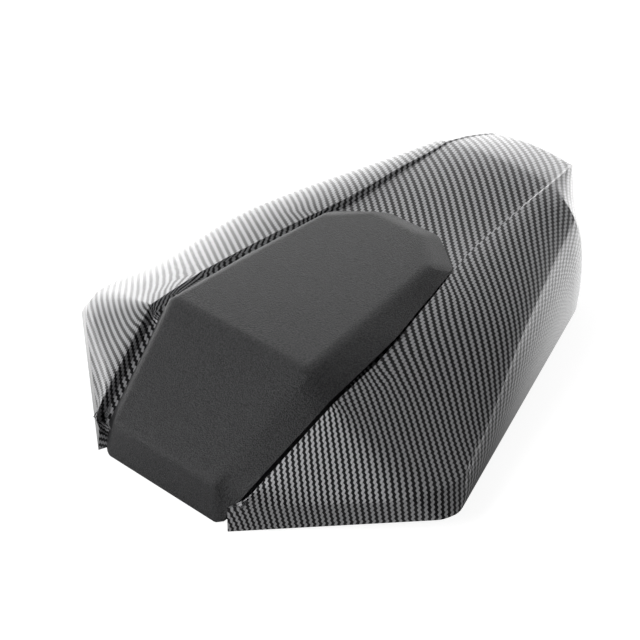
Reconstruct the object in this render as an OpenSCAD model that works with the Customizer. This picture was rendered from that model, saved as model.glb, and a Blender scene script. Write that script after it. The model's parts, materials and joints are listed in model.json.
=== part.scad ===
// Seat cowl: the hard cover that takes the place of a motorcycle's pillion seat.
// A faceted moulded shell carries a grained stop pad in front, and a base with the lock's
// striker, the rear tongue and four rubber dampers underneath.
// +X points to the front of the motorcycle, +Y to its left and +Z up.
// The origin lies on the ground plane, midway between the front tips and the tail edge.

/* [Shell outline] */
// Length of the shell from its front tips to the tail edge
shell_l = 312; // [290:1:340]
// Width across the shoulders, measured to their sharp corners
shoulder_w = 276; // [250:1:300]
// Distance of the shoulders behind the front tips
shoulder_back = 69; // [62:1:78]
// Height of the rim at the shoulders
shoulder_h = 16; // [8:1:22]
// Width across the bottom of the two front tips
tip_w = 96; // [92:1:104]
// Height of the ridges at the front tips
tip_h = 17; // [15:1:20]
// Width across the rear bottom corners
foot_w = 122; // [110:1:136]
// Distance of the rear bottom corners ahead of the tail edge
foot_ahead = 27; // [20:1:36]
// How far the rear bottom edge bows back
foot_bow = 12; // [4:1:18]

/* [Shell ridges] */
// Distance of the ridge creases behind the front tips
crease_back = 59; // [54:1:64]
// Width across the ridges at the creases
crease_w = 131; // [126:1:140]
// Height of the ridges at the creases
crease_h = 55; // [50:1:60]
// How far the ridges bow out between crease and kink
ridge_bow = 9; // [4:1:12]
// How far the ridges arch up between crease and kink
ridge_arch = 4; // [0:1:6]
// Distance of the ridge kinks ahead of the tail edge
kink_ahead = 36; // [30:1:44]
// Width across the ridges at the kinks
kink_w = 74; // [68:1:80]
// Height of the ridges at the kinks
kink_h = 73.5; // [68:0.5:78]
// Width of the tail edge
tail_w = 51; // [44:1:56]
// Height of the tail edge
tail_h = 68.5; // [64:0.5:72]
// Width of the ledge beside the pad at the creases
ledge_w = 6; // [5:0.5:8]
// Width of the ledge where it is widest, behind the pad
ledge_rear_w = 10; // [8:0.5:12]
// Depth of the pad's channel below the ridges in the front slope
channel_d = 6; // [5:0.5:8]
// Crown across the deck behind the pad
deck_crown = 2.5; // [0:0.5:4]
// Crown of the front facets
facet_crown = 1.5; // [0:0.5:4]
// How full the sides are: the share of their width that stays almost level
side_full = 0.82; // [0.6:0.01:0.84]
// The same share at the shoulders
front_full = 0.6; // [0.5:0.01:0.7]
// The same share at the kinks
tail_full = 0.72; // [0.6:0.01:0.8]
// How far the lower sides belly out above the rim
side_belly = 6; // [0:1:12]
// How far that share falls away from the ridge
side_dip = 4; // [2:0.5:8]
// How far the rear wall bows out
back_bow = 3; // [0:0.5:5]

/* [Shell wall] */
// Thickness of the shell's wall
wall = 3; // [2.5:0.1:4]
// Height of the upright flange along the rim
flange_h = 12; // [10:1:16]
// Cut of the rim's rounding at the shoulders
shoulder_cut = 10; // [6:1:14]
// Cut of the rounding at the shoulders' upper edge
shoulder_top_cut = 34; // [24:1:40]
// Cut of the rounding at the rear corners
foot_cut = 15; // [8:1:20]

/* [Stop pad] */
// Height of the pad above the ledge at the creases
pad_rise = 13; // [11:0.5:16]
// Height of the pad's top at its rear edge
pad_rear_h = 74.5; // [73:0.5:78]
// Height of the upper edge of the pad's front wall
pad_nose_h = 23; // [20:1:26]
// Thickness of the pad's front wall
pad_nose_t = 6.5; // [6:0.5:8]
// Width of the pad's top face at its crease
pad_top_w = 97; // [90:1:100]
// Width of the pad's top face at its rear corners
pad_top_rear_w = 79; // [74:1:82]
// Width of the pad's short rear edge
pad_rear_w = 37; // [30:1:44]
// Distance from the front tips back to the pad's rear side corners
pad_corner_back = 180; // [172:1:186]
// Distance from the front tips back to the pad's rear edge
pad_l = 200; // [194:1:206]
// Rounding of the pad's edges
pad_r = 5; // [3:0.5:6]
// Gap between the pad and the shell
pad_gap = 0.2; // [0.1:0.1:0.4]

/* [Base] */
// How far the base ends ahead of the tail
base_rear_gap = 62; // [54:1:70]
// Width of the base
base_w = 92; // [88:1:98]
// Height of the base's underside above the ground
base_z = 22; // [20:0.5:24]
// Thickness of the base's plate
base_t = 3; // [2.5:0.1:4]
// Distance of the base's front edge behind the front tips
base_back = 68; // [64:1:74]
// Height of the skirt and ribs on the base
base_rib_h = 6; // [4:0.5:8]
// Thickness of the ribs on the base and under the shell
rib_t = 2; // [1.6:0.1:2.6]

/* [Fasteners] */
// Thread diameter of the screws that hold the base
base_screw_d = 4; // [3.5:0.5:5]
// Length of the screws that hold the base, under the head
base_screw_l = 16; // [14:1:18]
// Thread diameter of the pad's studs
stud_d = 5; // [4:0.5:6]
// Length of the pad's studs below the pad
stud_l = 16; // [14:1:18]
// Distance between the pad's studs across the cowl
stud_pitch_y = 52; // [44:1:58]
// Distance between the pad's studs along the cowl
stud_pitch_x = 76; // [68:1:84]

/* [Lock and feet] */
// Diameter of the striker's rod
striker_d = 6; // [5:0.5:7]
// Clear width inside the striker's loop
striker_gap_w = 22; // [18:1:26]
// Clear height inside the striker's loop
striker_gap_h = 11; // [9:0.5:12]
// Thickness of the striker's plate and of the rear tongue
plate_t = 2.5; // [2:0.1:3]
// Width of the rear tongue
tongue_w = 30; // [24:1:36]
// Length of the part of the tongue that slides under the tail bracket
tongue_reach = 28; // [22:1:32]
// Diameter of the dampers' feet
damper_d = 18; // [14:1:20]
// Height of the dampers' feet below the base
damper_h = 12; // [8:1:16]

/* [Hidden] */

black = [0.07, 0.07, 0.08];
carbon = [0.26, 0.27, 0.28];
rubber = [0.20, 0.20, 0.21];
steel = [0.62, 0.63, 0.65];

// Places along the shell, from the front to the tail
x_tip = shell_l / 2;
// The back swells a little past the upper edge of the tail
tail_swell = 0.4;
x_tail = tail_swell - shell_l / 2;
x_shoulder = x_tip - shoulder_back;
x_crease = x_tip - crease_back;
x_kink = x_tail + kink_ahead;
x_foot = x_tail + foot_ahead;
x_lip = x_tip - pad_nose_t;
x_pad_corner = x_tip - pad_corner_back;
x_pad_rear = x_tip - pad_l;
tip_ridge_back = 3.5;
x_tip_ridge = x_tip - tip_ridge_back;

// Small edges and steps
edge_r = 1.6;
tip_ledge_w = 4.5;
tip_lean = 5.5;
crease_drop = 1.2;
rear_drop = 2.6;
draft = 1.5;

// Steps of the surface grid: front slope, shoulder, side, rear corner
steps_front = 7;
steps_shoulder = 8;
steps_side = 13;
steps_rear = 7;
last = steps_front + steps_shoulder + steps_side + steps_rear;
// Places across the deck, from the left ledge to the right one
across = [1, 0.94, 0.7, 0.42, 0.14, -0.14, -0.42, -0.7, -0.94, -1];
cols = len(across) - 1;
panel_steps = 6;
turn_steps = 4;

function mix(a, b, t) = a + (b - a) * t;
function bez(a, b, c, t) = mix(mix(a, b, t), mix(b, c, t), t);
function unit(v) = v / norm(v);
function flip(v) = [v[0], -v[1], v[2]];

// The ridge: half width and height at a place along the shell
function side_t(x) = (x_crease - x) / (x_crease - x_kink);
function ridge_y(x) =
    x >= x_crease ? mix(crease_w / 2, tip_w / 2 + tip_lean, (x - x_crease) / (x_tip_ridge - x_crease))
    : x >= x_kink ? bez(crease_w, (crease_w + kink_w) / 2 + 2 * ridge_bow, kink_w, side_t(x)) / 2
    : mix(kink_w, tail_w, (x_kink - x) / kink_ahead) / 2;
function ridge_z(x) =
    x >= x_crease ? mix(crease_h, tip_h, (x - x_crease) / (x_tip_ridge - x_crease))
    : x >= x_kink ? bez(crease_h, (crease_h + kink_h) / 2 + ridge_arch, kink_h, side_t(x))
    : mix(kink_h, tail_h, pow((x_kink - x) / kink_ahead, 1.5));
// The ledge between the ridge and the deck, or between the ridge and the pad's channel
function ledge(x) = lookup(x, [[x_tail, edge_r], [x_kink, edge_r], [x_pad_rear, ledge_rear_w],
                               [x_crease, ledge_w], [x_tip_ridge, tip_ledge_w]]);
function drop(x) = lookup(x, [[x_tail, edge_r / 2], [x_kink, edge_r / 2], [x_pad_rear, rear_drop],
                              [x_crease - 2 * ledge_w, crease_drop],
                              [x_crease + ledge_w, channel_d], [x_tip_ridge, channel_d]]);
function deck_y(x) = ridge_y(x) - ledge(x);
function deck_z(x) = ridge_z(x) - drop(x);
function crown(x) = lookup(x, [[x_tail, deck_crown], [x_kink, deck_crown], [x_pad_rear, 0], [x_tip, 0]]);

// Corners of the rim seen from above
tip_pt = [x_tip, tip_w / 2];
shoulder_pt = [x_shoulder, shoulder_w / 2];
foot_pt = [x_foot, foot_w / 2];
front_out = unit([shoulder_pt[1] - tip_pt[1], tip_pt[0] - shoulder_pt[0]]);
side_out = unit([foot_pt[1] - shoulder_pt[1], shoulder_pt[0] - foot_pt[0]]);
rear_out = [-1, 0];
function rim_z(x) = x > x_shoulder ? shoulder_h * (x_tip - x) / shoulder_back
    : shoulder_h * max(0, (x - x_foot) / (x_shoulder - x_foot));
function rear_x(y) = x_foot - foot_bow * (1 - pow(2 * y / foot_w, 2));

// A place on the rim, seen from above, at each step; cut is the rounding's length at the shoulder
function front_end(cut) = shoulder_pt + cut * unit(tip_pt - shoulder_pt);
function side_start(cut) = shoulder_pt + cut * unit(foot_pt - shoulder_pt);
side_end = foot_pt + foot_cut * unit(shoulder_pt - foot_pt);
rear_start_y = foot_w / 2 - foot_cut;
rear_start = [rear_x(rear_start_y), rear_start_y];
function zone(i) = i < steps_front ? 0 : i < steps_front + steps_shoulder ? 1
    : i < last - steps_rear ? 2 : 3;
function zone_t(i) = let (z = zone(i))
    z == 0 ? i / steps_front
    : z == 1 ? (i - steps_front) / steps_shoulder
    : z == 2 ? (i - steps_front - steps_shoulder) / steps_side
    : (i - last + steps_rear) / steps_rear;
// The inner surface starts a little behind the tips, which stay solid
function rim_pt(i, cut, start) = let (z = zone(i), t = zone_t(i))
    z == 0 ? mix(tip_pt, front_end(cut), mix(start, 1, t))
    : z == 1 ? bez(front_end(cut), shoulder_pt, side_start(cut), t)
    : z == 2 ? mix(side_start(cut), side_end, t)
    : bez(side_end, foot_pt, rear_start, t);
function rim_out(i) = let (z = zone(i), t = zone_t(i))
    z == 0 ? front_out
    : z == 1 ? unit(mix(front_out, side_out, t))
    : z == 2 ? side_out
    : unit(mix(side_out, rear_out, t));
// The ridge's place along the shell at each step
corner_span = 3;
function ridge_x(i, start) = let (z = zone(i), t = zone_t(i))
    z == 0 ? mix(x_tip_ridge, x_crease + corner_span, mix(start, 1, t))
    : z == 1 ? mix(x_crease + corner_span, x_crease - corner_span, t)
    : z == 2 ? mix(x_crease - corner_span, x_kink, t)
    : mix(x_kink, x_tail, t);
// How far each step's section has turned from the flat front facet to the full side
function smooth(t) = let (u = max(0, min(1, t))) u * u * (3 - 2 * u);
function side_run(i) = (i - steps_front) / (steps_shoulder + steps_side);
function side_share(i) = smooth((side_run(i) - 0.24) / 0.44);

// One upright strip of the surface, from ridge point r over flange top v to rim m.
// A facet runs straight from r to v; a side leaves the ridge almost level and ends upright.
function facet(r, v, m) = concat([for (s = [0 : panel_steps]) let (t = s / panel_steps)
        mix(r, v, t) + [0, 0, 4 * facet_crown * t * (1 - t)]],
    [for (s = [1 : turn_steps]) mix(v, m, s / turn_steps)]);
function fullness(i) = mix(front_full, side_full, smooth((side_run(i) - 0.3) / 0.4))
    + (tail_full - side_full) * smooth((side_run(i) - 0.75) / 0.25);
function cubic(a, b, c, d, t) = mix(bez(a, b, c, t), bez(b, c, d, t), t);
function side(r, m, out, full) = let (
        b = r + [full * (m[0] - r[0]), full * (m[1] - r[1]), -side_dip],
        c = m + [side_belly * out[0], side_belly * out[1], full * (r[2] - m[2])])
    [for (s = [0 : rows - 1]) cubic(r, b, c, m, s / (rows - 1))];
function back(r, m, out) = let (h = (r[2] - m[2]) / 3, bow = back_bow * [out[0], out[1], 0])
    [for (s = [0 : rows - 1]) cubic(r, r + bow - [0, 0, h], m + bow + [0, 0, h], m, s / (rows - 1))];
function blend(p, q, t) = [for (k = [0 : len(p) - 1]) mix(p[k], q[k], t)];
function strip(r, v, m, out, share, rear, full) = rear > 0
    ? blend(side(r, m, out, full), back(r, m, out), rear)
    : blend(facet(r, v, m), side(r, m, out, full), share);
rows = panel_steps + turn_steps + 1;

// Strips along the left side; w is the inset of the inner surface, or 0 for the outer one
inner_start = 0.12;
function left_strip(i, w) = let (
        start = w > 0 ? inner_start : 0,
        top_cut = w > 0 ? shoulder_top_cut - w : shoulder_top_cut,
        x = ridge_x(i, start), out = rim_out(i), m2 = rim_pt(i, shoulder_cut, start),
        v2 = rim_pt(i, top_cut, start) - draft * out,
        tail = zone(i) == 3 ? zone_t(i) : i == last ? 1 : 0,
        m = [m2[0], m2[1], rim_z(m2[0])] - w * [out[0], out[1], 0],
        v = [v2[0], v2[1], rim_z(v2[0]) + flange_top(i)] - w * [1.15 * out[0], 1.15 * out[1], 0.6],
        r = w > 0 ? [x + 1.35 * w * tail, ridge_y(x) - 1.35 * w, deck_z(x) - w]
                  : [x, ridge_y(x), ridge_z(x)])
    strip(r, v, m, out, side_share(i), tail, fullness(i));
function flange_top(i) = zone(i) == 0 ? mix(tip_h - 3, flange_h, zone_t(i)) : flange_h;
function left_edge(i, w) = let (start = w > 0 ? inner_start : 0, x = ridge_x(i, start),
        tail = zone(i) == 3 ? zone_t(i) : i == last ? 1 : 0)
    w > 0 ? [x + (1.35 * w + edge_r) * tail, ridge_y(x) - 1.35 * w - 0.8 * ledge(x), deck_z(x) - w]
          : [min(x, x_lip - edge_r) + edge_r * tail, deck_y(x), deck_z(min(x, x_lip - edge_r))];

// The deck: rows of points across the shell at each step
function deck_row(i, w) = let (e = left_edge(i, w))
    [for (a = across) [e[0], a * e[1], e[2] + crown(e[0]) * (1 - a * a)]];
// Strips of the tail, between the two rear corners
function tail_strip(a, w) = let (
        y_m = rear_start_y * a, x_m = rear_x(y_m),
        m = [x_m + w, y_m, 0],
        v = [x_m - draft + 1.15 * w, y_m * 0.98, flange_h - 0.6 * w],
        r = w > 0 ? [x_tail + 1.35 * w, a * (tail_w / 2 - 1.35 * w),
                   tail_h + deck_crown * (1 - a * a) - edge_r / 2 - w]
                  : [x_tail, a * tail_w / 2, tail_h + deck_crown * (1 - a * a)])
    strip(r, v, m, rear_out, 1, 1, tail_full);
// Strips of the front, under the pad's nose
function front_strip(a, w) = let (
        e = left_edge(0, w), y = a * e[1], x = w > 0 ? x_lip - w : x_lip,
        top = e[2] - edge_r)
    [for (s = [0 : rows - 1]) [x, y, top * (1 - s / (rows - 1))]];

// The whole loop of strips: left side, tail, right side, front
function loop(w) = concat(
    [for (i = [0 : last]) left_strip(i, w)],
    [for (j = [1 : cols - 1]) tail_strip(across[j], w)],
    [for (i = [last : -1 : 0]) [for (p = left_strip(i, w)) flip(p)]],
    [for (j = [cols - 1 : -1 : 1]) front_strip(across[j], w)]);
around = 2 * (last + 1) + 2 * (cols - 1);
deck_count = (last + 1) * (cols + 1);
skin_count = deck_count + around * rows;
function deck_at(i, j) = i * (cols + 1) + j;
// The deck's own point at each place round the loop
function deck_edge(p) =
    p <= last ? deck_at(p, 0)
    : p < last + cols ? deck_at(last, p - last)
    : p <= 2 * last + cols ? deck_at(2 * last + cols - p, cols)
    : deck_at(0, around - p);
function skin_at(p, k) = k == 0 ? deck_edge(p) : deck_count + p * rows + k - 1;
// Two triangles of a quad; turn cuts it along its other diagonal, so that left mirrors right
function quad(a, b, c, d, up, turn = false) = turn
    ? (up ? [[a, b, d], [b, c, d]] : [[d, b, a], [d, c, b]])
    : (up ? [[a, b, c], [a, c, d]] : [[c, b, a], [d, c, a]]);
function on_left(p) = p < last + cols / 2 || p > 2 * last + 1.5 * cols;
function skin_points(w) = concat([for (i = [0 : last]) each deck_row(i, w)], [for (s = loop(w)) each s]);
function skin_faces(base, up) = concat(
    [for (i = [0 : last - 1], j = [0 : cols - 1])
        each quad(base + deck_at(i, j), base + deck_at(i, j + 1),
                  base + deck_at(i + 1, j + 1), base + deck_at(i + 1, j), up, j >= cols / 2)],
    [for (p = [0 : around - 1], k = [0 : rows - 1]) let (q = (p + 1) % around)
        each quad(base + skin_at(p, k), base + skin_at(q, k),
                  base + skin_at(q, k + 1), base + skin_at(p, k + 1), up, on_left(p))]);
function rim_faces() = [for (p = [0 : around - 1]) let (q = (p + 1) % around)
    each quad(skin_at(p, rows), skin_at(q, rows),
              skin_count + skin_at(q, rows), skin_count + skin_at(p, rows), true, on_left(p))];

module skin() {
    polyhedron(points = concat(skin_points(0), skin_points(wall)),
               faces = concat(skin_faces(0, true), skin_faces(skin_count, false), rim_faces()),
               convexity = 6);
}

// The channel's floor and the deck, as the outer skin has them
floor_line = [for (i = [last : -1 : 0]) let (e = left_edge(i, 0)) [e[0], e[2]]];
function floor_z(x) = lookup(x, floor_line);

// Places of the fasteners and the base
x_base = x_tip - base_back;
x_base_rear = -shell_l / 2 + base_rear_gap;
base_l = x_base - x_base_rear;
base_top = base_z + base_t;
boss_in = 8;
boss_pitch = 60;
boss_spots = [[x_base - boss_in, base_w / 2 - boss_in],
              [x_base - boss_in - boss_pitch, base_w / 2 - boss_in],
              [x_base_rear + boss_in + 2, base_w / 2 - boss_in - 6]];
stud_in = 20;
stud_x = x_base - stud_in;
stud_spots = [[stud_x, stud_pitch_y / 2], [stud_x - stud_pitch_x, stud_pitch_y / 2]];
nose_screw_y = 24;
nose_screw_z = 6;
nose_screw_d = 4;
fit_gap = 0.15;
boss_r = base_screw_d / 2 + 3.2;
stud_boss_r = stud_d / 2 + 4.5;
stud_head_r = stud_d / 2 + 4;
stud_head_t = 2;
stud_lift = 1.5;
washer_t = 1;
nut_t = 4;
function stud_seat_z(x) = floor_z(x) - wall - 2;
module both_sides() {
    children();
    mirror([0, 1, 0]) children();
}
module at(spots) both_sides() for (p = spots) translate([p[0], p[1], 0]) children();
module tube_at(spot, r, z0, z1) translate([spot[0], spot[1], z0]) cylinder(r = r, h = z1 - z0, $fn = 48);

// Ribs under the deck, clear of the studs' washers
rib_drop = 9;
rib_from_stud = [22, 12];
rib_from_rear = 56;
rib_places = [stud_x - rib_from_stud[0], stud_x - stud_pitch_x + rib_from_stud[1],
              x_base_rear + rib_from_rear];
keel_y = 13;
module cross_rib(x) translate([x - rib_t / 2, -deck_y(x) + 6, floor_z(x) - wall - rib_drop])
    cube([rib_t, 2 * deck_y(x) - 12, rib_drop + wall / 2]);
module keel() let (xs = [for (i = [0 : 12]) mix(x_base, x_base_rear, i / 12)])
    translate([0, keel_y + rib_t / 2, 0]) rotate([90, 0, 0]) linear_extrude(rib_t)
        polygon(concat([for (x = xs) [x, floor_z(x) - wall / 2]],
                       [for (i = [12 : -1 : 0]) [xs[i], floor_z(xs[i]) - wall - rib_drop]]));
module boss(p) {
    tube_at(p, boss_r, base_top, floor_z(p[0]) - wall / 2);
    translate([p[0] - rib_t / 2, keel_y, floor_z(p[0]) - wall - rib_drop])
        cube([rib_t, p[1] - keel_y, rib_drop + wall / 2]);
}

module cowl_shell() color(carbon) difference() {
    union() {
        skin();
        for (x = rib_places) cross_rib(x);
        both_sides() {
            keel();
            for (p = boss_spots) boss(p);
            for (p = stud_spots) tube_at(p, stud_boss_r, stud_seat_z(p[0]), floor_z(p[0]) - wall / 2);
        }
    }
    at(boss_spots) translate([0, 0, base_top - 1])
        cylinder(r = base_screw_d / 2 + fit_gap, h = base_screw_l, $fn = 32);
    at(stud_spots) translate([0, 0, base_top])
        cylinder(r = stud_d / 2 + fit_gap, h = 2 * tail_h, $fn = 32);
    both_sides() translate([x_lip - 2 * wall, nose_screw_y, nose_screw_z]) rotate([0, 90, 0])
        cylinder(r = nose_screw_d / 2 + fit_gap, h = 3 * wall, $fn = 32);
}

// The stop pad: sections across it, each from the floor of the channel to its own height
pad_foot = 1;
pad_edge = 1.6;
nose_lean = 2.6;
nose_w = 87;
nose_top_w = 76;
rear_run = 13.5;
pad_crown = 1;
nose_pt = [x_tip - nose_lean, pad_nose_h];
crest_pt = [x_crease, crease_h + pad_rise];
rear_pt = [x_pad_rear + rear_run, pad_rear_h];
rear_foot = [x_pad_rear, floor_z(x_pad_rear) + pad_gap + pad_edge];
nose_foot = [x_tip, pad_foot + pad_edge];
function turn(a, b, c, cut, n) = let (p = b + cut * unit(a - b), q = b + cut * unit(c - b))
    [for (i = [0 : n]) bez(p, b, q, i / n)];
pad_profile = concat([nose_foot], turn(nose_foot, nose_pt, crest_pt, pad_r + 1, 6),
                     turn(nose_pt, crest_pt, rear_pt, 2 * pad_r, 8),
                     turn(crest_pt, rear_pt, rear_foot, pad_r, 6), [rear_foot]);
function pad_top(x) = lookup(x, pad_profile);
pad_side_gap = 0.5;
function pad_foot_y(x) = let (nose = x_tip - pad_r, u = max(0, (x - nose) / pad_r))
    x > x_lip ? nose_w / 2 - pad_r * (1 - sqrt(max(0, 1 - u * u))) * 0.7
    : x > x_pad_corner ? min(deck_y(x) - pad_side_gap,
                             mix(deck_y(x) - pad_side_gap, nose_w / 2, (x - x_lip + 12) / 12))
    : mix(deck_y(x_pad_corner) - pad_side_gap, pad_rear_w / 2,
          (x_pad_corner - x) / (x_pad_corner - x_pad_rear));
top_edge = [[x_pad_rear, pad_rear_w / 2 - 1.5], [rear_pt[0], pad_rear_w / 2 - 0.5],
            [x_pad_corner + rear_run, pad_top_rear_w / 2], [x_crease, pad_top_w / 2],
            [nose_pt[0] - 1, nose_top_w / 2], [x_tip, nose_w / 2 - 3.5]];
function pad_top_y(x) = lookup(x, top_edge);
function pad_base_z(x) = x > x_lip + pad_gap / 2 ? pad_foot : floor_z(x) + pad_gap;
pad_top_steps = 4;
function pad_half(x) = let (zb = pad_base_z(x), yf = pad_foot_y(x), zt = pad_top(x),
        yt = min(pad_top_y(x), yf - 0.6), low = [yf, zb + pad_edge / 2], corner = [yt, zt],
        cut = min(pad_r, 0.45 * norm(corner - low)), side_dir = unit(low - corner),
        p = corner + cut * side_dir, q = corner - [cut, 0])
    concat([[yf - pad_edge / 2, zb], low], [for (i = [0 : 5]) bez(p, corner, q, i / 5)],
           [for (i = [1 : pad_top_steps - 1]) let (t = i / pad_top_steps)
               [q[0] * (1 - t), zt + pad_crown * (1 - pow(1 - t, 2))]]);
function pad_ring(x) = let (h = pad_half(x), m = len(h), c = pad_top(x) + pad_crown)
    concat([for (p = h) [x, p[0], p[1]]], [[x, 0, c]], [for (i = [m - 1 : -1 : 0]) [x, -h[i][0], h[i][1]]]);
nose_steps = [0, 0.5, 1, 1.6, 2.2, 2.7, 3.3, 4, 5];
rear_steps = 10;
pad_xs = concat([for (d = nose_steps) x_tip - d], [x_lip + pad_gap + 0.02, x_lip + pad_gap / 2],
    [for (i = [0 : last]) let (x = floor_line[last - i][0]) if (x > x_pad_corner + rear_run) x],
    [for (i = [0 : rear_steps]) mix(x_pad_corner + rear_run, x_pad_rear, i / rear_steps)]);
module pad_body() {
    rings = [for (x = pad_xs) pad_ring(x)];
    n = len(rings);
    m = len(rings[0]);
    polyhedron(points = [for (r = rings) each r],
               faces = concat([[for (k = [m - 1 : -1 : 0]) k]],
                   [for (i = [0 : n - 2], k = [0 : m - 1]) let (k2 = (k + 1) % m)
                       each quad(i * m + k, i * m + k2, (i + 1) * m + k2, (i + 1) * m + k, true)],
                   [[for (k = [0 : m - 1]) (n - 1) * m + k]]),
               convexity = 4);
}
module stop_pad() color(rubber) difference() {
    pad_body();
    both_sides() {
        for (p = stud_spots)
            tube_at(p, stud_head_r + fit_gap, floor_z(p[0]) - 2, floor_z(p[0]) + stud_lift + stud_head_t);
        translate([x_lip, nose_screw_y, nose_screw_z]) rotate([0, 90, 0])
            cylinder(r = nose_screw_d / 2 + fit_gap, h = pad_nose_t - 2, $fn = 32);
    }
}

// Fasteners of the pad
module hex(af, t) cylinder(r = af / sqrt(3), h = t, $fn = 6);
module ring(r1, r2, t) difference() {
    cylinder(r = r2, h = t, $fn = 48);
    translate([0, 0, -1]) cylinder(r = r1, h = t + 2, $fn = 32);
}
module pad_studs() color(steel) both_sides() for (p = stud_spots) let (z = floor_z(p[0]) + stud_lift)
    translate([p[0], p[1], z]) {
        cylinder(r = stud_head_r, h = stud_head_t, $fn = 48);
        translate([0, 0, -stud_l]) cylinder(r = stud_d / 2, h = stud_l + 0.5, $fn = 32);
    }
module pad_washers() color(steel) both_sides() for (p = stud_spots)
    translate([p[0], p[1], stud_seat_z(p[0]) - washer_t])
        ring(stud_d / 2 + fit_gap, stud_d / 2 + 3.2, washer_t);
module pad_nuts() color(steel) both_sides() for (p = stud_spots)
    translate([p[0], p[1], stud_seat_z(p[0]) - washer_t - nut_t]) difference() {
        hex(1.6 * stud_d, nut_t);
        translate([0, 0, -1]) cylinder(r = stud_d / 2 + fit_gap, h = nut_t + 2, $fn = 32);
    }
// A pan-head screw, pointing up, its head's bearing face at zero
module screw(d, l) {
    head_r = d;
    head_h = 0.65 * d;
    difference() {
        union() {
            translate([0, 0, -head_h * 0.6]) cylinder(r = head_r, h = head_h * 0.6, $fn = 48);
            translate([0, 0, -head_h]) cylinder(r1 = head_r * 0.75, r2 = head_r, h = head_h * 0.4, $fn = 48);
            cylinder(r = d / 2, h = l - d / 2, $fn = 32);
            translate([0, 0, l - d / 2]) cylinder(r1 = d / 2, r2 = d / 6, h = d / 2, $fn = 32);
        }
        for (a = [0, 90]) rotate(a) translate([-head_r * 0.55, -d * 0.1, -head_h - 1])
            cube([head_r * 1.1, d * 0.2, 1 + head_h * 0.5]);
    }
}
nose_screw_l = wall + pad_nose_t - 3;
module pad_front_screws() color(steel) both_sides()
    translate([x_lip - wall, nose_screw_y, nose_screw_z]) rotate([0, 90, 0])
        screw(nose_screw_d, nose_screw_l);

// The base: a ribbed plate that carries the lock's striker, the tongue and the dampers
base_corner = 10;
base_taper = 8;
striker_x = x_base - 50;
striker_leg_y = striker_gap_w / 2 + striker_d / 2;
plate_l = 26;
plate_w = striker_gap_w + 4 * striker_d + 12;
plate_screw_y = plate_w / 2 - 5;
plate_screw_d = 4;
plate_screw_l = plate_t + base_t + 5;
damper_spots = [[x_base - 30, base_w / 2 - 11], [x_base_rear + 36, base_w / 2 - 13]];
damper_neck_r = 4;
tongue_l = 34;
tongue_x = x_base_rear + 38;
tongue_screws_x = [tongue_x - 8, tongue_x - 22];
window_w = 20;
module base_outline(inset) {
    l = [[x_base, base_w / 2], [x_base_rear + 40, base_w / 2], [x_base_rear, base_w / 2 - base_taper]];
    c = concat([for (p = l) p], [for (i = [2 : -1 : 0]) [l[i][0], -l[i][1]]]);
    polygon([for (i = [0 : 5]) let (p = c[(i + 5) % 6], q = c[i], r = c[(i + 1) % 6],
                 k = q - inset * [sign(q[0] - (x_base + x_base_rear) / 2), sign(q[1])])
                 each turn(p, k, r, base_corner, 5)]);
}
module plate_boss(x, y) tube_at([x, y], 4.5, base_z, base_top + 5);
module base_pan() color(black) difference() {
    union() {
        translate([0, 0, base_z]) linear_extrude(base_t) base_outline(0);
        translate([0, 0, base_z]) linear_extrude(base_t + base_rib_h) difference() {
            base_outline(0);
            base_outline(rib_t);
        }
        for (x = [striker_x - 22, striker_x + 22, tongue_x + 6, tongue_x - 30])
            translate([x - rib_t / 2, -base_w / 2 + base_taper + 1, base_z])
                cube([rib_t, base_w - 2 * base_taper - 2, base_t + base_rib_h - 1]);
        both_sides() {
            translate([x_base_rear + 1, 10.5, base_z])
                cube([base_l - 2, rib_t, base_t + base_rib_h - 1]);
            plate_boss(striker_x, plate_screw_y);
        }
        for (x = tongue_screws_x) plate_boss(x, 0);
    }
    at(boss_spots) {
        translate([0, 0, base_z - 1]) cylinder(r = base_screw_d / 2 + fit_gap, h = base_t + 2, $fn = 32);
        translate([0, 0, base_top]) cylinder(r = boss_r + 0.4, h = base_rib_h + 1, $fn = 48);
    }
    at(damper_spots) {
        translate([0, 0, base_z - 1]) cylinder(r = damper_neck_r + fit_gap, h = base_t + 2, $fn = 32);
        translate([0, 0, base_top]) cylinder(r = damper_neck_r + 3.4, h = base_rib_h + 1, $fn = 48);
    }
    at([[striker_x, striker_leg_y]]) {
        translate([0, 0, base_z - 1]) cylinder(r = striker_d / 2 + fit_gap, h = base_t + 2, $fn = 32);
        translate([0, 0, base_top]) cylinder(r = striker_d + 1.2, h = base_rib_h + 1, $fn = 48);
    }
    at([[striker_x, plate_screw_y]]) translate([0, 0, base_z - 1])
        cylinder(r = plate_screw_d / 2 + fit_gap, h = base_t + 7, $fn = 32);
    for (x = tongue_screws_x) translate([x, 0, base_z - 1])
        cylinder(r = plate_screw_d / 2 + fit_gap, h = base_t + 7, $fn = 32);
    for (x = [striker_x - 40, striker_x + 35]) both_sides()
        translate([x - window_w / 2, 16, base_z - 1]) cube([window_w * 0.8, 12, base_t + 2]);
}
module base_washers() color(steel) at(boss_spots) translate([0, 0, base_z - washer_t])
    ring(base_screw_d / 2 + fit_gap, base_screw_d + 1, washer_t);
module base_screws() color(steel) at(boss_spots) translate([0, 0, base_z - washer_t])
    screw(base_screw_d, base_screw_l);

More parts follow.
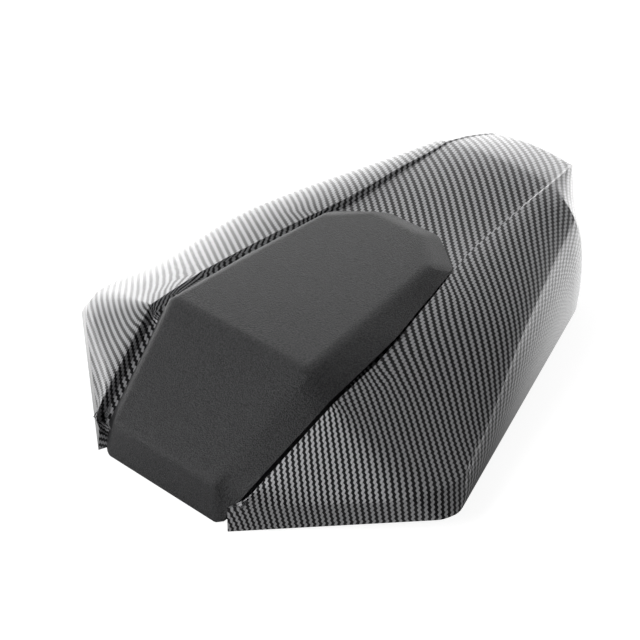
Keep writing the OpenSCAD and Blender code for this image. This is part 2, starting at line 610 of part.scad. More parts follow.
// A rubber damper, pushed through the base by its neck
module damper(p) color(black) translate([p[0], p[1], base_z]) rotate_extrude($fn = 64) polygon(concat(
    [[0, -damper_h], [damper_d / 2 - 3, -damper_h], [damper_d / 2 - 1.5, -damper_h + 1],
     [damper_d / 2, -damper_h + 5], [damper_d / 2, -1.5], [damper_d / 2 - 1.5, 0], [damper_neck_r, 0],
     [damper_neck_r, base_t], [damper_neck_r + 2.5, base_t]],
    [[damper_neck_r + 2, base_t + 2], [damper_neck_r - 0.5, base_t + 5], [0, base_t + 5.5]]));
module damper_front_left() damper(damper_spots[0]);
module damper_front_right() mirror([0, 1, 0]) damper(damper_spots[0]);
module damper_rear_left() damper(damper_spots[1]);
module damper_rear_right() mirror([0, 1, 0]) damper(damper_spots[1]);

// The lock's striker: a bent rod, nutted through its plate and the base
plate_bottom = base_z - plate_t;
bend_r = striker_d;
loop_z = plate_bottom - striker_gap_h - striker_d / 2;
collar_t = 2;
leg_top = base_top + washer_t + nut_t + 2;
module striker_plate() color(steel) difference() {
    translate([striker_x - plate_l / 2, -plate_w / 2, plate_bottom]) cube([plate_l, plate_w, plate_t]);
    at([[striker_x, striker_leg_y]]) translate([0, 0, plate_bottom - 1])
        cylinder(r = striker_d / 2 + fit_gap, h = plate_t + 2, $fn = 32);
    at([[striker_x, plate_screw_y]]) translate([0, 0, plate_bottom - 1])
        cylinder(r = plate_screw_d / 2 + fit_gap, h = plate_t + 2, $fn = 32);
    both_sides() for (s = [-1, 1]) translate([striker_x + s * plate_l / 2, plate_w / 2, plate_bottom - 1])
        rotate(45) cube([7, 7, 10], center = true);
}
module striker_loop() color(steel) translate([striker_x, 0, 0]) {
    both_sides() {
        translate([0, striker_leg_y, loop_z + bend_r])
            cylinder(r = striker_d / 2, h = leg_top - loop_z - bend_r, $fn = 32);
        translate([0, striker_leg_y, plate_bottom - collar_t])
            cylinder(r = striker_d / 2 + 2, h = collar_t, $fn = 48);
        translate([0, striker_leg_y - bend_r, loop_z + bend_r]) rotate([0, 90, 0])
            rotate_extrude(angle = 90, $fn = 48) translate([bend_r, 0]) circle(r = striker_d / 2, $fn = 32);
    }
    translate([0, striker_leg_y - bend_r, loop_z]) rotate([90, 0, 0])
        cylinder(r = striker_d / 2, h = 2 * (striker_leg_y - bend_r), $fn = 32);
}
module striker_washers() color(steel) at([[striker_x, striker_leg_y]]) translate([0, 0, base_top])
    ring(striker_d / 2 + fit_gap, striker_d, washer_t);
module striker_nuts() color(steel) at([[striker_x, striker_leg_y]])
    translate([0, 0, base_top + washer_t]) difference() {
        hex(1.65 * striker_d, nut_t);
        translate([0, 0, -1]) cylinder(r = striker_d / 2 + fit_gap, h = nut_t + 2, $fn = 32);
    }
module plate_screws() color(steel) at([[striker_x, plate_screw_y]]) translate([0, 0, plate_bottom])
    screw(plate_screw_d, plate_screw_l);

// The rear tongue: a cranked strip that slides under the tail bracket
tongue_drop = 8;
crank_l = 9;
module rear_tongue() color(steel) difference() {
    translate([0, tongue_w / 2, 0]) rotate([90, 0, 0]) linear_extrude(tongue_w) polygon([
        [tongue_x, base_z], [tongue_x, plate_bottom], [tongue_x - tongue_l, plate_bottom],
        [tongue_x - tongue_l - crank_l, plate_bottom - tongue_drop],
        [tongue_x - tongue_l - crank_l - tongue_reach, plate_bottom - tongue_drop],
        [tongue_x - tongue_l - crank_l - tongue_reach, base_z - tongue_drop],
        [tongue_x - tongue_l - crank_l + 1, base_z - tongue_drop], [tongue_x - tongue_l + 1, base_z]]);
    for (x = tongue_screws_x) translate([x, 0, plate_bottom - 1])
        cylinder(r = plate_screw_d / 2 + fit_gap, h = plate_t + 2, $fn = 32);
    both_sides() translate([tongue_x - tongue_l - crank_l - tongue_reach, tongue_w / 2, 0])
        rotate(45) cube([11, 11, 4 * base_z], center = true);
}
module tongue_screws() color(steel) for (x = tongue_screws_x) translate([x, 0, plate_bottom])
    screw(plate_screw_d, plate_screw_l);

cowl_shell();
stop_pad();
pad_studs();
pad_washers();
pad_nuts();
pad_front_screws();
base_pan();
base_screws();
base_washers();
damper_front_left();
damper_front_right();
damper_rear_left();
damper_rear_right();
striker_plate();
striker_loop();
striker_washers();
striker_nuts();
plate_screws();
rear_tongue();
tongue_screws();
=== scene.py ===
"""Seat cowl: a glossy twill-printed shell with a rubber stop pad, on a pale floor."""
import json
import math

import bmesh
import bpy
from mathutils import Matrix, Vector
from mathutils.bvhtree import BVHTree


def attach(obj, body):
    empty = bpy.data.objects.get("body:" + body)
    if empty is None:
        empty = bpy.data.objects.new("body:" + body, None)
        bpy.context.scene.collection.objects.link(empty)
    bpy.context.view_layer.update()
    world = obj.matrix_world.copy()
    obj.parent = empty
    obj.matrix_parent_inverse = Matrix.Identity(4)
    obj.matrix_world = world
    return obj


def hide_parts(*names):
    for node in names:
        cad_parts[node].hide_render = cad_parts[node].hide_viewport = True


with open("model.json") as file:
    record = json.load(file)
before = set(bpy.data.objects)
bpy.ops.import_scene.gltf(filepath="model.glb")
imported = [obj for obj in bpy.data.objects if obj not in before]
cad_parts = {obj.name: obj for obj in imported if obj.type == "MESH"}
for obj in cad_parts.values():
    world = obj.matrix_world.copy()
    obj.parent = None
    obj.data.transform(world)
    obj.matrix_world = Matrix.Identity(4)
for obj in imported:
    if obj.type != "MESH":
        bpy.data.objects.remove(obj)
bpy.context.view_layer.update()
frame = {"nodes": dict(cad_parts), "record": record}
scene = bpy.context.scene
nodes = frame["nodes"]
mm = 0.001

# The camera: where it looks and from where
IMAGE = 640
SENSOR = 36.0
FOCAL_PX = 1800.0
CAMERA_AZIMUTH = 132.5
CAMERA_ELEVATION = 35.4
CAMERA_ROLL = -0.43
CAMERA_DISTANCE = 975 * mm
CAMERA_TARGET = Vector((34.0, 0.0, 42.4)) * mm

# The twill: strand width, the directions across both sets of strands, their colours, how much of
# its colour a strand keeps at its edges, and how metallic the light ones are
STRAND = 1.42 * mm
ACROSS_WARP = math.radians(105)
ACROSS_WEFT = math.radians(-2)
WARP_COLOUR = (0.47, 0.47, 0.484)
WEFT_COLOUR = (0.008, 0.008, 0.009)
WARP_EDGE = 0.45
WEFT_EDGE = 0.4
WARP_METAL = 0.4

# The studio: AWAY points to the backdrop, which stands on the object's far side. The room is
# dimmer opposite to it. Each pair is where a soft change starts and ends: the EDGE by the sine
# of the height, the SPREADs by the cosine to AWAY, and the floor's by the distance along AWAY.
AWAY = (-0.74, -0.67, 0.0)
ROOM_LIGHT = 0.18
ROOM_LEAST = 0.35
ROOM_SPREAD = (-0.9, -0.2)
BACKDROP_LIGHT = 2.3
BACKDROP_EDGE = (0.9, 0.22)
BACKDROP_SPREAD = (0.35, 1.0)
FLOOR_HALF = 6.0
FLOOR_DROP = 0.1 * mm
FLOOR_PAINT = 0.4
FLOOR_GLOW = 0.9
FLOOR_SHEEN = 2.0
SHEEN_SPREAD = (-0.15, 0.25)

# The lamps: what they point at, and each one's name, place, width and power
LAMP_TARGET = Vector((0.0, 0.0, 0.04))
LAMPS = (
    ("key", (1.25, 0.0, 0.85), 0.5, 9),
    ("overhead", (-0.3, -0.8, 1.4), 0.6, 1.6),
    ("front", (1.05, -0.75, 0.14), 0.3, 3.5),
)

# The shell's mesh: how near corners are one, which edges are ridges, where its outside ends, which
# edges stay sharp, and how far the ridges are rounded
WELD = 0.005 * mm
RIDGE_ANGLE = math.radians(17)
RIM_ANGLE = math.radians(80)
RIM_FACING = -0.5
SHARP_ANGLE = math.radians(32)
RIDGE_BEVEL = 0.8 * mm

# The parts of the cloth that set its turn (the deck) and its scale (the flanks)
DECK_LENGTH = (-120 * mm, 90 * mm)
DECK_HALF = 45 * mm
FLANK_FROM = 70 * mm

# Where the shell is measured from above, outward: the first place, how many there are and how far
# apart, and how near a point on the skin lies to it
PROBE_FROM = 40 * mm
PROBE_COUNT = 112
PROBE_STEP = 0.25 * mm
ON_SKIN = 0.1 * mm

# The channel beside the pad, whose walls stand steeper in the look: the extent, along x and to the
# side, of the corners that move and of the edges that aren't rounded, how far inside and outside
# its foot a wall is told, how much wider the floor gets at x = 0 and per length, the least
# distance to the ridge, and how far the floor drops, and where
CHANNEL_REGION = ((-24 * mm, 148.5 * mm), (40 * mm, 61 * mm))
CHANNEL_EDGES = ((-60 * mm, 149 * mm), (40 * mm, 61 * mm))
CHANNEL_PROBE = (2 * mm, 1.5 * mm)
CHANNEL_SPREAD = (2.3 * mm, 0.06)
RIDGE_GAP = 1.2 * mm
CHANNEL_DROP = 2.4 * mm
DROP_START = 50 * mm
DROP_RUN = 30 * mm

# The fold between deck and flank, drawn in beside the foot of its wall: its extent, how it is
# found, its least width, the rise as it moves in, and where and to what height it fades
FOLD_REGION = ((-152 * mm, 45 * mm), (25 * mm, 62 * mm))
FOLD_PROBE = 0.6 * mm
FOLD_FALL = 0.02 * mm
FOLD_WIDTH = 0.3 * mm
FOLD_RISE = 0.1
FOLD_FADE = (-90 * mm, 30 * mm)
FOLD_LEAST = 0.3 * mm

# The tail: the lip at the end of the deck, and the swelling of its corners
LIP_START = -153.9 * mm
LIP_RUN = 3 * mm
LIP_HALF = 26 * mm
LIP_INNER = 23.5 * mm
LIP_HEIGHT = 60 * mm
CORNER_MIDDLE = Vector((-146.0, 37.0, 50.0)) * mm
CORNER_REACH = 45 * mm
CORNER_SWELL = 6 * mm

# The pad: corners on its left side, places in mm along its foot, its rounding, the dark gap under
# its left edge with the wall behind it, and how its right edge lies
PAD_NOSE = Vector((153.4, 38.0, 23.0)) * mm
PAD_NOSE_FOOT = Vector((156.0, 42.0, 1.0)) * mm
PAD_CREST = Vector((97.0, 48.5, 68.0)) * mm
PAD_SIDE_END = Vector((-10.5, 39.5, 73.5)) * mm
PAD_REAR_END = Vector((-30.5, 18.0, 74.5)) * mm
PAD_SIDE_FOOT = Vector((-24.0, 44.6, 66.6)) * mm
PAD_REAR_FOOT = Vector((-44.0, 18.5, 67.0)) * mm
PAD_FRONT_PLACES = (146, 135, 120, 108, 97)
PAD_REAR_PLACES = (80, 60, 40, 20, 0, -20)
PAD_INNER = Vector((149.7, 42.0, 14.4)) * mm
PAD_ROUND = 3.5 * mm
PAD_SHARP = math.radians(40)
PAD_CLEAR = 0.3 * mm
PAD_GAP = (1.6 * mm, 2.8 * mm)
PAD_GAP_FULL = 40 * mm
PAD_RECESS = 2.6 * mm
PAD_RIGHT_GAP = 5 * mm
PAD_RIGHT_LIFT = 0.8 * mm


def add_camera():
    """A camera with the photograph's view."""
    azimuth, elevation, roll = (math.radians(a) for a in (CAMERA_AZIMUTH, CAMERA_ELEVATION, CAMERA_ROLL))
    back = Vector((math.sin(azimuth) * math.cos(elevation), -math.cos(azimuth) * math.cos(elevation),
                   math.sin(elevation)))
    right = Vector((math.cos(azimuth), math.sin(azimuth), 0.0))
    up = back.cross(right)
    across = math.cos(roll) * right + math.sin(roll) * up
    upright = -math.sin(roll) * right + math.cos(roll) * up
    data = bpy.data.cameras.new("camera")
    data.sensor_width = SENSOR
    data.lens = FOCAL_PX / IMAGE * SENSOR
    data.clip_start = 0.05
    camera = bpy.data.objects.new("camera", data)
    scene.collection.objects.link(camera)
    axes = Matrix((across, upright, back)).transposed()
    camera.matrix_world = Matrix.Translation(CAMERA_TARGET + CAMERA_DISTANCE * back) @ axes.to_4x4()
    scene.camera = camera


class Graph:
    """A node tree, with short calls for its nodes."""

    def __init__(self, tree):
        self.tree = tree

    def node(self, kind, **settings):
        made = self.tree.nodes.new(kind)
        for name, value in settings.items():
            setattr(made, name, value)
        return made

    def link(self, source, target):
        self.tree.links.new(source, target)

    def math(self, operation, *values):
        made = self.node("ShaderNodeMath", operation=operation)
        for socket, value in zip(made.inputs, values):
            if isinstance(value, (int, float)):
                socket.default_value = value
            else:
                self.link(value, socket)
        return made.outputs[0]

    def ramp(self, value, low, high, kind="SMOOTHSTEP"):
        """From 0 at low to 1 at high."""
        made = self.node("ShaderNodeMapRange", interpolation_type=kind)
        made.inputs["From Min"].default_value = low
        made.inputs["From Max"].default_value = high
        self.link(value, made.inputs["Value"])
        return made.outputs[0]

    def along(self, source, direction):
        """How far a vector goes in a direction."""
        made = self.node("ShaderNodeVectorMath", operation="DOT_PRODUCT")
        self.link(source, made.inputs[0])
        made.inputs[1].default_value = direction
        return made.outputs["Value"]


class Shader(Graph):
    """A material's node tree."""

    def __init__(self, name):
        self.material = bpy.data.materials.new(name)
        self.material.use_nodes = True
        super().__init__(self.material.node_tree)
        self.surface = self.tree.nodes["Principled BSDF"]

    def set(self, **values):
        for name, value in values.items():
            self.surface.inputs[name.replace("_", " ")].default_value = value
        return self

    def mix(self, share, first, second):
        made = self.node("ShaderNodeMix", data_type="RGBA")
        for socket, value in zip((made.inputs[0], made.inputs[6], made.inputs[7]), (share, first, second)):
            if isinstance(value, (int, float)):
                socket.default_value = value
            elif isinstance(value, tuple):
                socket.default_value = (*value, 1.0)
            else:
                self.link(value, socket)
        return made.outputs[2]

    def noise(self, scale, detail):
        made = self.node("ShaderNodeTexNoise")
        made.inputs["Scale"].default_value = scale
        made.inputs["Detail"].default_value = detail
        self.link(self.node("ShaderNodeTexCoord").outputs["Object"], made.inputs["Vector"])
        return made.outputs["Fac"]

    def bump(self, height, strength, distance):
        made = self.node("ShaderNodeBump")
        made.inputs["Strength"].default_value = strength
        made.inputs["Distance"].default_value = distance
        self.link(height, made.inputs["Height"])
        self.link(made.outputs["Normal"], self.surface.inputs["Normal"])


def twill_material():
    """A printed two-by-two twill under a clear coat: light warp strands, dark weft strands."""
    shader = Shader("twill").set(Roughness=0.42, Specular_IOR_Level=0.1)
    shader.set(Coat_Weight=1.0, Coat_Roughness=0.06, Coat_IOR=1.5)
    place = shader.node("ShaderNodeUVMap", uv_map="cloth").outputs["UV"]
    warp, weft = (shader.along(place, (math.cos(angle) / STRAND, math.sin(angle) / STRAND, 0.0))
                  for angle in (ACROSS_WARP, ACROSS_WEFT))
    step = shader.math("SUBTRACT", shader.math("FLOOR", warp), shader.math("FLOOR", weft))
    over = shader.math("LESS_THAN", shader.math("FLOORED_MODULO", step, 4.0), 1.5)

    def thread(value):
        """Bright along the middle of a strand, dark at its edges."""
        offset = shader.math("ABSOLUTE", shader.math("SUBTRACT", shader.math("FRACT", value), 0.5))
        return shader.math("SUBTRACT", 1.0, shader.math("POWER", shader.math("MULTIPLY", offset, 2.0), 3.0))

    light = shader.mix(thread(warp), tuple(WARP_EDGE * c for c in WARP_COLOUR), WARP_COLOUR)
    dark = shader.mix(thread(weft), tuple(WEFT_EDGE * c for c in WEFT_COLOUR), WEFT_COLOUR)
    shader.link(shader.mix(over, dark, light), shader.surface.inputs["Base Color"])
    shader.link(shader.math("MULTIPLY", over, WARP_METAL), shader.surface.inputs["Metallic"])
    return shader.material


def rubber_material():
    """The pad's fine-grained black rubber."""
    shader = Shader("pad_rubber").set(Roughness=0.43, Specular_IOR_Level=0.36)
    grain = shader.noise(1500.0, 2.0)
    speckle = shader.ramp(grain, 0.35, 0.65, "LINEAR")
    shader.link(shader.mix(speckle, (0.011, 0.011, 0.012), (0.052, 0.052, 0.054)),
                shader.surface.inputs["Base Color"])
    shader.bump(grain, 1.0, 0.5 * mm)
    return shader.material


def plain_material(name, colour, roughness, metallic=0.0, grain=300.0):
    """A moulded, rubber or metal finish with a slight unevenness."""
    shader = Shader(name).set(Roughness=roughness, Metallic=metallic)
    uneven = shader.noise(grain, 2.0)
    shader.link(shader.mix(uneven, tuple(0.85 * c for c in colour), tuple(1.15 * c for c in colour)),
                shader.surface.inputs["Base Color"])
    shader.bump(uneven, 0.2, 0.1 * mm)
    return shader.material


def set_material(obj, material):
    obj.data.materials.clear()
    obj.data.materials.append(material)


def new_piece(name, mesh, material, slot, *replaced):
    piece = bpy.data.objects.new(name, mesh)
    scene.collection.objects.link(piece)
    set_material(piece, material)
    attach(piece, "root")
    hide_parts(*replaced)
    return piece


def outer_faces(mesh):
    """The faces that can be reached without crossing the rim from the highest one that faces up."""
    start = max(mesh.faces, key=lambda f: f.calc_center_median().z + 0.1 * f.normal.z)
    found = {start}
    queue = [start]
    while queue:
        face = queue.pop()
        for edge in face.edges:
            if len(edge.link_faces) != 2 or edge.calc_face_angle(math.pi) > RIM_ANGLE:
                continue
            for other in edge.link_faces:
                if other not in found and other.normal.z > RIM_FACING:
                    found.add(other)
                    queue.append(other)
    return found


shell_tree = BVHTree.FromObject(nodes["cowl_shell"], bpy.context.evaluated_depsgraph_get())


def surface_z(x, y):
    """The height of the shell's outer skin."""
    hit = shell_tree.ray_cast(Vector((x, y, 1.0)), Vector((0.0, 0.0, -1.0)))[0]
    return hit.z if hit else 0.0


def within(x, side, region):
    """Whether a place lies in a region: its extent along x, and to the side."""
    (rear, front), (inner, outer) = region
    return rear < x < front and inner < side < outer


def channel_at(x):
    """The left wall of the pad's channel: y and z of its foot in the look, y and z of its ridge."""
    places = [PROBE_FROM + i * PROBE_STEP for i in range(PROBE_COUNT)]
    heights = [surface_z(x, y) for y in places]
    foot = max(y for y, z in zip(places, heights) if abs(z - heights[0]) < ON_SKIN)
    ridge_z, ridge = max(zip(heights, places))
    wide = min(foot + CHANNEL_SPREAD[0] + CHANNEL_SPREAD[1] * x, ridge - RIDGE_GAP)
    share = min(1.0, max(0.0, (x - DROP_START) / DROP_RUN))
    return wide, heights[0] - share * CHANNEL_DROP, ridge, ridge_z


def in_channel(edge):
    """Whether an edge is the foot of one of the channel's walls."""
    return not edge.is_convex and all(within(v.co.x, abs(v.co.y), CHANNEL_EDGES) for v in edge.verts)


def draw_in_folds(mesh):
    """Moves the fold between deck and flank in beside the foot of its wall."""
    moves = []
    for vert in mesh.verts:
        x, y, z = vert.co
        side = abs(y)
        if not within(x, side, FOLD_REGION) or abs(z - surface_z(x, side)) > ON_SKIN / 2:
            continue
        if z - surface_z(x, side - FOLD_PROBE) < ON_SKIN or surface_z(x, side + FOLD_PROBE) - z > FOLD_FALL:
            continue
        foot = side - PROBE_STEP
        while surface_z(x, foot - PROBE_STEP) < surface_z(x, foot) - FOLD_FALL:
            foot -= PROBE_STEP
        inner = foot + max(FOLD_WIDTH, CHANNEL_SPREAD[0] + CHANNEL_SPREAD[1] * x) + RIDGE_GAP
        inner = min(inner, side)
        height = z + FOLD_RISE * (side - inner)
        fade = min(1.0, max(0.0, (FOLD_FADE[0] - x) / FOLD_FADE[1]))
        height += fade * (surface_z(x, foot) + FOLD_LEAST - height)
        moves.append((vert, (x, math.copysign(inner, y), height)))
    for vert, place in moves:
        vert.co = place


def shape_tail(mesh):
    """Brings the lip at the end of the deck down to it, and swells the tail's corners."""
    for vert in mesh.verts:
        x, y, z = vert.co
        if x < LIP_START - 2 * ON_SKIN and abs(y) < LIP_HALF and z > LIP_HEIGHT:
            inner = min(abs(y), LIP_INNER)
            level = surface_z(LIP_START, inner)
            fall = (surface_z(LIP_START + LIP_RUN, inner) - level) / LIP_RUN
            vert.co.z = min(z, level - fall * (LIP_START - x))
        away = (Vector((x, abs(y), z)) - CORNER_MIDDLE).length / CORNER_REACH
        if away < 1:
            vert.co.y += math.copysign(CORNER_SWELL * (1 - away * away) ** 2, y)


def open_channel(mesh):
    """Moves the foot of the channel's walls outward and down."""
    for vert in mesh.vertices:
        x, y, z = vert.co
        side = abs(y)
        if not within(x, side, CHANNEL_REGION) or abs(z - surface_z(x, side)) > ON_SKIN:
            continue
        level_inside = abs(z - surface_z(x, side - CHANNEL_PROBE[0])) < 1.5 * ON_SKIN
        if level_inside and surface_z(x, side + CHANNEL_PROBE[1]) - z > 2 * ON_SKIN:
            wide, low, _, _ = channel_at(x)
            vert.co = (x, math.copysign(wide, y), low)


def shell_mesh():
    """The shell with its ridges rounded, its surface smooth, and its outer faces chosen and cut apart for
    the cloth.
    """
    mesh = bmesh.new()
    mesh.from_mesh(nodes["cowl_shell"].data)
    bmesh.ops.remove_doubles(mesh, verts=mesh.verts, dist=WELD)
    bmesh.ops.dissolve_degenerate(mesh, edges=mesh.edges, dist=WELD)
    draw_in_folds(mesh)
    shape_tail(mesh)
    mesh.normal_update()
    outer = outer_faces(mesh)
    ridges = [e for e in mesh.edges if len(e.link_faces) == 2 and all(f in outer for f in e.link_faces)
              and e.calc_face_angle(0.0) > RIDGE_ANGLE and not in_channel(e)]
    bmesh.ops.bevel(mesh, geom=ridges, offset=RIDGE_BEVEL, segments=3, profile=0.5, affect="EDGES",
                    clamp_overlap=True)
    mesh.normal_update()
    outer = outer_faces(mesh)
    for face in mesh.faces:
        face.smooth = True
        face.select_set(face in outer)
    for edge in mesh.edges:
        edge.smooth = len(edge.link_faces) == 2 and edge.calc_face_angle(0.0) < SHARP_ANGLE
        edge.seam = len(edge.link_faces) == 2 and len([f for f in edge.link_faces if f in outer]) == 1
    made = bpy.data.meshes.new("cowl_shell_look")
    mesh.to_mesh(made)
    mesh.free()
    return made


def lay_cloth(piece):
    """A map of the outer surface in metres, laid flat with as little stretch as it can be."""
    piece.data.uv_layers.active = piece.data.uv_layers.new(name="cloth")
    bpy.context.view_layer.objects.active = piece
    piece.select_set(True)
    bpy.ops.object.mode_set(mode="EDIT")
    bpy.ops.uv.unwrap(method="MINIMUM_STRETCH", margin=0.0, iterations=30)
    bpy.ops.object.mode_set(mode="OBJECT")
    piece.select_set(False)
    fit_cloth(piece.data, piece.data.uv_layers["cloth"])


def fit_cloth(mesh, uv):
    """Turns the map so that the deck lies as in plan view, and scales it to metres on the sides."""
    pairs = []
    area = flat_area = 0.0
    for face in mesh.polygons:
        if not face.select:
            continue
        flat = [complex(*uv.data[loop].uv) for loop in face.loop_indices]
        if abs(face.center.y) > FLANK_FROM:
            area += face.area
            fan = zip(flat[1:], flat[2:])
            flat_area += sum(((b - flat[0]).conjugate() * (c - flat[0])).imag for b, c in fan) / 2
        if abs(face.center.y) < DECK_HALF and DECK_LENGTH[0] < face.center.x < DECK_LENGTH[1]:
            middle = sum(flat) / len(flat)
            pairs.append((middle, complex(face.center.x, face.center.y), face.area))
    weight = sum(p[2] for p in pairs)
    middle_uv = sum(p[0] * p[2] for p in pairs) / weight
    middle = sum(p[1] * p[2] for p in pairs) / weight
    same = sum((p[1] - middle) * (p[0] - middle_uv).conjugate() * p[2] for p in pairs)
    flipped = sum((p[1] - middle) * (p[0] - middle_uv) * p[2] for p in pairs)
    mirror = flat_area < 0
    turn = flipped if mirror else same
    turn *= math.sqrt(area / abs(flat_area)) / abs(turn)
    for item in uv.data:
        value = complex(*item.uv) - middle_uv
        value = turn * (value.conjugate() if mirror else value) + middle
        item.uv = (value.real, value.imag)


def build_shell():
    shell = new_piece("shell_skin", shell_mesh(), twill_material(), "shell", "cowl_shell")
    lay_cloth(shell)
    open_channel(shell.data)


def pad_foot(x, side):
    """The pad's lower edge, the recessed wall under it and its foot, at one place on a side."""
    wide, low, ridge, ridge_z = channel_at(x)
    if side < 0:
        edge = Vector((x, wide - PAD_RIGHT_GAP, low + PAD_RIGHT_LIFT))
        inside = Vector((x, edge.y - PAD_RECESS / 2, edge.z))
        return edge, inside, Vector((x, inside.y, low + PAD_CLEAR))
    share = min(1.0, max(0.0, (PAD_CREST.x - x) / (PAD_CREST.x - PAD_GAP_FULL)))
    beside = ridge_z if wide > ridge - 1.5 * RIDGE_GAP else low
    edge = Vector((x, wide - PAD_CLEAR, beside + PAD_GAP[0] + share * (PAD_GAP[1] - PAD_GAP[0])))
    inside = Vector((x, edge.y - PAD_RECESS, edge.z))
    return edge, inside, Vector((x, inside.y, low + PAD_CLEAR))


def pad_mesh():
    """The pad as flat faces with rounded edges, hollow below at its nose."""
    mesh = bmesh.new()
    made = {}

    def corner(point, side):
        key = tuple(round(c, 7) for c in (point.x, side * point.y, point.z))
        if key not in made:
            made[key] = mesh.verts.new((point.x, side * point.y, point.z))
        return made[key]

    def along(start, end, x):
        return start.lerp(end, (x - start.x) / (end.x - start.x))

    front = [x * mm for x in PAD_FRONT_PLACES]
    rear = [x * mm for x in PAD_REAR_PLACES]
    upper = [along(PAD_NOSE, PAD_CREST, x) for x in front[:-1]] + [PAD_CREST]
    upper += [along(PAD_CREST, PAD_SIDE_END, x) for x in rear[:-1]] + [PAD_SIDE_END]
    inner_foot = Vector((PAD_INNER.x, PAD_INNER.y, PAD_NOSE_FOOT.z))
    middle = []
    rounded = []
    for side in (1, -1):
        feet = [pad_foot(x, side) for x in front + rear]
        last = feet[-1]
        faces = [(PAD_NOSE, upper[0], feet[0][0], PAD_NOSE_FOOT),
                 (PAD_NOSE_FOOT, feet[0][0], feet[0][1], feet[0][2], PAD_INNER, inner_foot),
                 (last[2], last[1], last[0], PAD_SIDE_FOOT, PAD_REAR_FOOT),
                 (upper[-1], PAD_SIDE_FOOT, last[0]),
                 (PAD_SIDE_END, PAD_REAR_END, PAD_REAR_FOOT, PAD_SIDE_FOOT)]
        for i, (here, there) in enumerate(zip(feet, feet[1:])):
            faces += [(here[1], here[0], there[0], there[1]), (here[2], here[1], there[1], there[2]),
                      (upper[i], upper[i + 1], there[0], here[0])]
        for points in faces:
            mesh.faces.new([corner(p, side) for p in points][::side])
        middle.append([corner(p, side) for p in [PAD_NOSE, PAD_NOSE_FOOT, inner_foot, PAD_INNER]
                       + [foot[2] for foot in feet] + [PAD_REAR_FOOT, PAD_REAR_END]])
        chain = [PAD_NOSE_FOOT, PAD_NOSE] + upper + [PAD_REAR_END, PAD_REAR_FOOT]
        rounded += [(corner(p, side), corner(q, side)) for p, q in zip(chain, chain[1:])]
        rounded.append((corner(PAD_SIDE_END, side), corner(PAD_SIDE_FOOT, side)))
    left, right = middle
    for i in range(len(left) - 1):
        mesh.faces.new((left[i], left[i + 1], right[i + 1], right[i]))
    crest = len(front)
    for chain in ([PAD_NOSE] + upper[:crest], upper[crest - 1:] + [PAD_REAR_END]):
        mesh.faces.new([corner(p, 1) for p in chain] + [corner(p, -1) for p in chain[::-1]])
    bmesh.ops.recalc_face_normals(mesh, faces=mesh.faces)
    rounded += [(corner(p, 1), corner(p, -1)) for p in (PAD_NOSE, PAD_CREST, PAD_REAR_END)]
    bmesh.ops.bevel(mesh, geom=[mesh.edges.get(pair) for pair in rounded], offset=PAD_ROUND, segments=4,
                    profile=0.5, affect="EDGES")
    look = bpy.data.meshes.new("stop_pad_look")
    mesh.to_mesh(look)
    mesh.free()
    return look


def build_pad():
    pad = new_piece("backstop_pad", pad_mesh(), rubber_material(), "pad", "stop_pad")
    pad.data.shade_smooth()
    pad.data.set_sharp_from_angle(angle=PAD_SHARP)


def dress_hardware():
    """Materials for the pieces whose shape the frame already has."""
    looks = {
        "base": plain_material("base_plastic", (0.035, 0.035, 0.037), 0.55),
        "damper": plain_material("damper_rubber", (0.025, 0.025, 0.026), 0.7),
        "steel": plain_material("zinc_steel", (0.6, 0.6, 0.58), 0.3, 1.0, 120.0),
    }
    for part in frame["record"]["subparts"]:
        if part["material_slot"] in looks:
            set_material(nodes[part["node"]], looks[part["material_slot"]])


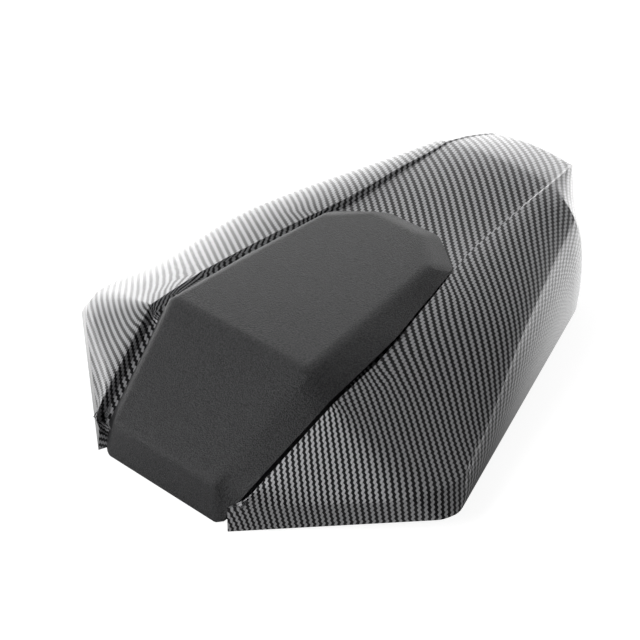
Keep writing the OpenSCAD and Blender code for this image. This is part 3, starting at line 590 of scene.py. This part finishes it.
def add_floor():
    """A pale floor that the camera sees as white, with a bright reflection on its far side."""
    signs = ((-1, -1), (1, -1), (1, 1), (-1, 1))
    corners = [(x * FLOOR_HALF, y * FLOOR_HALF, -FLOOR_DROP) for x, y in signs]
    mesh = bpy.data.meshes.new("floor")
    mesh.from_pydata(corners, [], [(0, 1, 2, 3)])
    floor = bpy.data.objects.new("floor", mesh)
    scene.collection.objects.link(floor)
    shader = Shader("floor_paint").set(Base_Color=(FLOOR_PAINT,) * 3 + (1.0,), Roughness=0.9)
    shader.set(Specular_IOR_Level=0.0, Emission_Color=(1.0, 1.0, 1.0, 1.0))
    rays = shader.node("ShaderNodeLightPath").outputs
    away = shader.along(shader.node("ShaderNodeTexCoord").outputs["Object"], AWAY)
    behind = shader.math("MULTIPLY", rays["Is Glossy Ray"], shader.ramp(away, *SHEEN_SPREAD))
    sheen = shader.math("MULTIPLY", behind, FLOOR_SHEEN)
    glow = shader.math("ADD", shader.math("MULTIPLY", rays["Is Camera Ray"], FLOOR_GLOW), sheen)
    shader.link(glow, shader.surface.inputs["Emission Strength"])
    set_material(floor, shader.material)


def add_lamp(name, place, width, power):
    data = bpy.data.lights.new(name, "AREA")
    data.shape = "SQUARE"
    data.size = width
    data.energy = power
    lamp = bpy.data.objects.new(name, data)
    scene.collection.objects.link(lamp)
    turn = (Vector(place) - LAMP_TARGET).to_track_quat("Z", "Y")
    lamp.matrix_world = Matrix.Translation(place) @ turn.to_matrix().to_4x4()


def add_world():
    """A white backdrop that is brightest near the floor behind the object, in a dimmer room."""
    world = bpy.data.worlds.new("studio")
    world.use_nodes = True
    scene.world = world
    graph = Graph(world.node_tree)
    background = graph.tree.nodes["Background"]
    background.inputs["Color"].default_value = (1.0, 1.0, 1.0, 1.0)
    direction = graph.node("ShaderNodeTexCoord").outputs["Generated"]
    height = graph.along(direction, (0.0, 0.0, 1.0))
    away = graph.along(direction, AWAY)
    backdrop = graph.math("MULTIPLY", graph.ramp(away, *BACKDROP_SPREAD), graph.ramp(height, *BACKDROP_EDGE))
    aside = graph.math("MULTIPLY", graph.ramp(away, *ROOM_SPREAD), 1.0 - ROOM_LEAST)
    room = graph.math("MULTIPLY", graph.math("ADD", aside, ROOM_LEAST), ROOM_LIGHT)
    light = graph.math("ADD", graph.math("MULTIPLY", backdrop, BACKDROP_LIGHT), room)
    seen = graph.node("ShaderNodeLightPath").outputs["Is Camera Ray"]
    graph.link(graph.math("MAXIMUM", light, seen), background.inputs["Strength"])


add_camera()
add_world()
for lamp_settings in LAMPS:
    add_lamp(*lamp_settings)
add_floor()
build_shell()
build_pad()
dress_hardware()
scene.view_settings.view_transform = "Standard"
